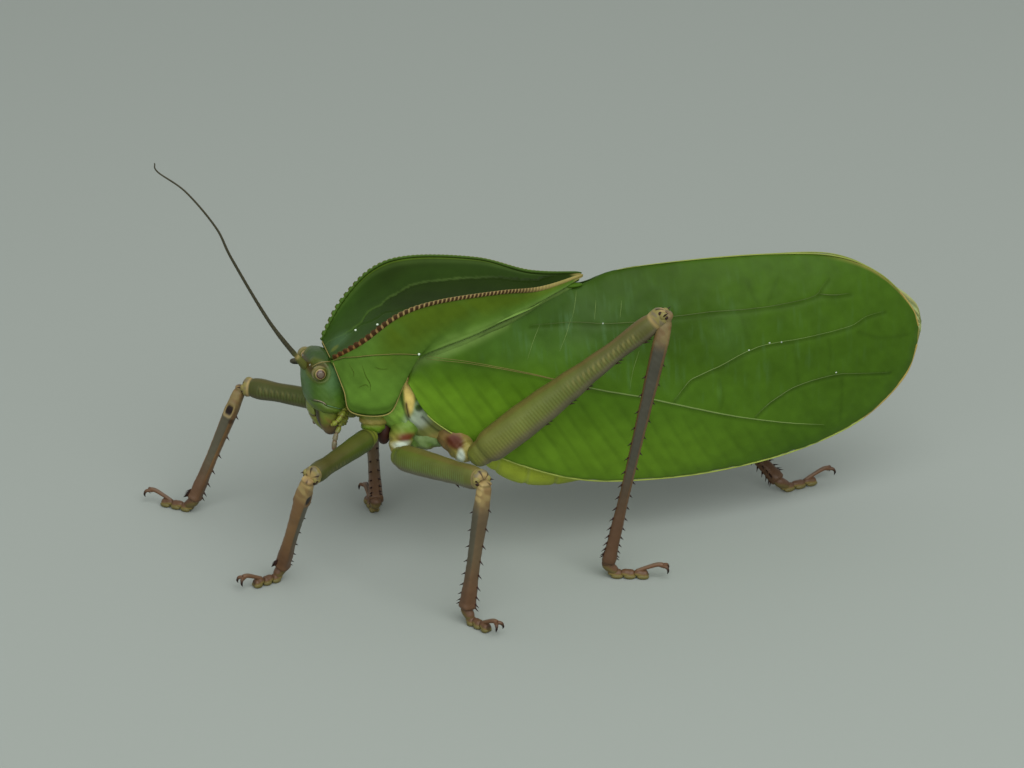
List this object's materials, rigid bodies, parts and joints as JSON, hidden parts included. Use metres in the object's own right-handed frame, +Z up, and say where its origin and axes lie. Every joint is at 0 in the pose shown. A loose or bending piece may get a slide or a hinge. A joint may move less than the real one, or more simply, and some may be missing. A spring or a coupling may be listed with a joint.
{
  "type": "long-horned grasshopper",
  "caption": "Life-size still model of a giant hooded katydid walking, with leaf-shaped wings and a crested hood.",
  "frame": {"origin": "on the floor, below the centre of the whole model's box", "axes": "+Z up, the head looks along -X, the insect's left side is -Y"},
  "size_m": [0.1642, 0.0856, 0.0947],
  "materials": {
    "shield": "waxy mid-green cuticle of the hood and head",
    "leaf_wing": "leaf-green forewing with raised pale veins, satin",
    "fan_wing": "folded hindwing membrane, olive cream",
    "flank": "green thorax plates with cream, white and dark red membranes",
    "belly": "bright yellow-green segmented abdomen",
    "hip": "yellow-green leg bases",
    "thigh": "olive green femur with fine cross ribs and a cream knee",
    "shin": "brown tibia, cream at the top and red-brown at the foot, with dark thorns",
    "foot": "red-brown jointed foot with olive pads and dark claws",
    "eye": "small faceted eye with a brown ring and a cream and yellow rim",
    "feeler": "dark olive thread-like antenna",
    "mouth": "yellow-green to brown mouthparts"
  },
  "bodies": {
    "root": {"pronotum": "shield", "head": "shield", "eye_left": "eye", "eye_right": "eye", "labrum": "mouth", "mandible_left": "mouth", "mandible_right": "mouth", "maxilla_left": "mouth", "maxilla_right": "mouth", "labium": "mouth", "antenna_left": "feeler", "antenna_right": "feeler", "thorax": "flank", "abdomen": "belly", "forewing_left": "leaf_wing", "forewing_right": "leaf_wing", "hindwing_left": "fan_wing", "hindwing_right": "fan_wing", "foreleg_left_coxa": "hip", "foreleg_left_femur": "thigh", "foreleg_left_tibia": "shin", "foreleg_left_tarsus": "foot", "foreleg_right_coxa": "hip", "foreleg_right_femur": "thigh", "foreleg_right_tibia": "shin", "foreleg_right_tarsus": "foot", "midleg_left_coxa": "hip", "midleg_left_femur": "thigh", "midleg_left_tibia": "shin", "midleg_left_tarsus": "foot", "midleg_right_coxa": "hip", "midleg_right_femur": "thigh", "midleg_right_tibia": "shin", "midleg_right_tarsus": "foot", "hindleg_left_coxa": "hip", "hindleg_left_femur": "thigh", "hindleg_left_tibia": "shin", "hindleg_left_tarsus": "foot", "hindleg_right_coxa": "hip", "hindleg_right_femur": "thigh", "hindleg_right_tibia": "shin", "hindleg_right_tarsus": "foot"}
  },
  "joints": []
}
